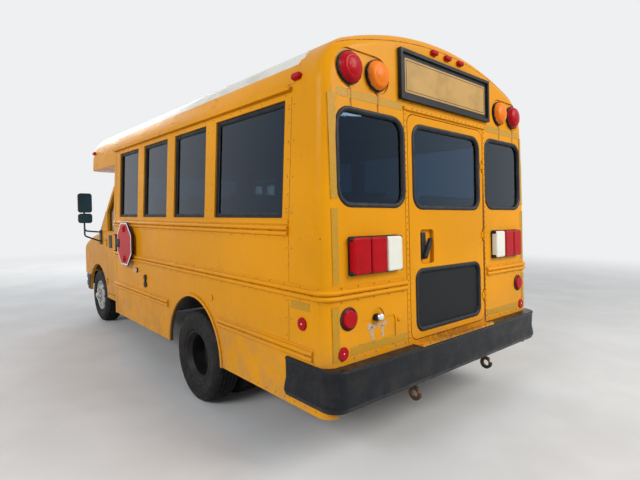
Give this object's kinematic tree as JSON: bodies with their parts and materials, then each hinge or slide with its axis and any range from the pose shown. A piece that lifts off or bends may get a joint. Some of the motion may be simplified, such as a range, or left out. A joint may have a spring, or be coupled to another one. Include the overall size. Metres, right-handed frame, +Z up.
{
  "type": "short school bus",
  "caption": "Short school bus on a cutaway van chassis, with dual rear wheels, a rear emergency door, a two-leaf entry door, a folding stop arm and warning lamps.",
  "frame": {"origin": "on the ground, under the middle of the whole bus", "axes": "+Z up, +Y to the rear, +X to the driver's (left) side"},
  "size_m": [2.58, 6.12, 2.7149],
  "materials": {
    "roof_paint": "gloss",
    "body_yellow": "gloss",
    "black_plastic": "grained",
    "black_paint": "satin",
    "tinted_glass": "tinted",
    "red_lens": "clear gloss",
    "amber_lens": "clear gloss",
    "clear_lens": "clear gloss",
    "clear_glass": "clear",
    "sign_red": "reflective",
    "chassis_black": "matt, rusty",
    "tyre_rubber": "matt",
    "wheel_silver": "satin",
    "wheel_black": "satin, rusty",
    "cast_metal": "rough",
    "bare_steel": "dull",
    "bench_vinyl": "satin vinyl",
    "seat_cloth": "woven"
  },
  "bodies": {
    "bus": {"roof": "roof_paint", "side_wall_left": "body_yellow", "side_wall_right": "body_yellow", "rear_wall": "body_yellow", "front_cap": "roof_paint", "floor": "black_plastic", "window_frames": "black_paint", "fixed_glass": "tinted_glass", "bumpers": "black_paint", "red_lamps": "red_lens", "amber_lamps": "amber_lens", "clear_lamps": "clear_lens", "cab_shell": "body_yellow", "grille": "black_plastic", "body_fittings": "black_plastic", "mirrors": "black_plastic", "frame": "chassis_black", "front_suspension": "chassis_black", "rear_axle": "chassis_black", "driveline": "cast_metal", "fuel_tank": "bare_steel", "exhaust": "bare_steel", "passenger_seats": "bench_vinyl", "driver_seat": "seat_cloth", "dashboard": "black_plastic"},
    "rear_wheels_left": {"rear_tyres_left": "tyre_rubber", "rear_rims_left": "wheel_black"},
    "rear_wheels_right": {"rear_tyres_right": "tyre_rubber", "rear_rims_right": "wheel_black"},
    "steer_left": {"knuckle_left": "cast_metal"},
    "steer_right": {"knuckle_right": "cast_metal"},
    "front_wheel_left": {"front_tyre_left": "tyre_rubber", "front_rim_left": "wheel_silver"},
    "front_wheel_right": {"front_tyre_right": "tyre_rubber", "front_rim_right": "wheel_silver"},
    "rear_door": {"rear_door": "body_yellow", "rear_door_glass": "tinted_glass"},
    "driver_door": {"driver_door": "body_yellow", "driver_glass": "clear_glass"},
    "entry_front": {"entry_leaf_front": "black_paint", "entry_glass_front": "clear_glass"},
    "entry_rear": {"entry_leaf_rear": "black_paint", "entry_glass_rear": "clear_glass"},
    "stop_arm": {"stop_arm": "sign_red"},
    "hood": {"hood": "body_yellow"}
  },
  "joints": [
    {"name": "rear_wheels_left_spin", "type": "hinge", "parent": "bus", "child": "rear_wheels_left", "pos_m": [0.948, 1.35, 0.372], "axis": [1, 0, 0], "continuous": true},
    {"name": "rear_wheels_right_spin", "type": "hinge", "parent": "bus", "child": "rear_wheels_right", "pos_m": [-0.948, 1.35, 0.372], "axis": [1, 0, 0], "continuous": true},
    {"name": "steer_left_turn", "type": "hinge", "parent": "bus", "child": "steer_left", "pos_m": [0.82, -2.18, 0.372], "axis": [0, 0, 1], "range_deg": [-33, 33]},
    {"name": "steer_right_turn", "type": "hinge", "parent": "bus", "child": "steer_right", "pos_m": [-0.82, -2.18, 0.372], "axis": [0, 0, 1], "range_deg": [-33, 33]},
    {"name": "front_wheel_left_spin", "type": "hinge", "parent": "steer_left", "child": "front_wheel_left", "pos_m": [0.874, -2.18, 0.372], "axis": [1, 0, 0], "continuous": true},
    {"name": "front_wheel_right_spin", "type": "hinge", "parent": "steer_right", "child": "front_wheel_right", "pos_m": [-0.874, -2.18, 0.372], "axis": [1, 0, 0], "continuous": true},
    {"name": "rear_door_open", "type": "hinge", "parent": "bus", "child": "rear_door", "pos_m": [-0.465, 2.944, 1.43016], "axis": [0, -0.041, 0.9992], "range_deg": [0, 110]},
    {"name": "driver_door_open", "type": "hinge", "parent": "bus", "child": "driver_door", "pos_m": [1.004, -1.731, 1], "axis": [0, 0, -1], "range_deg": [0, 68]},
    {"name": "entry_front_open", "type": "hinge", "parent": "bus", "child": "entry_front", "pos_m": [-1.187, -1.446, 1.2], "axis": [0, 0, 1], "range_deg": [0, 88]},
    {"name": "entry_rear_open", "type": "hinge", "parent": "bus", "child": "entry_rear", "pos_m": [-1.187, -0.814, 1.2], "axis": [0, 0, -1], "range_deg": [0, 88]},
    {"name": "stop_arm_swing", "type": "hinge", "parent": "bus", "child": "stop_arm", "pos_m": [1.254, -0.4335, 1.222], "axis": [0, 0, -1], "range_deg": [0, 90]},
    {"name": "hood_open", "type": "hinge", "parent": "bus", "child": "hood", "pos_m": [0, -2.164, 1.2515], "axis": [-1, 0, 0], "range_deg": [0, 50]}
  ],
  "couplings": [
    {"joint": "steer_right_turn", "follows": "steer_left_turn", "ratio": 1},
    {"joint": "entry_rear_open", "follows": "entry_front_open", "ratio": 1}
  ]
}
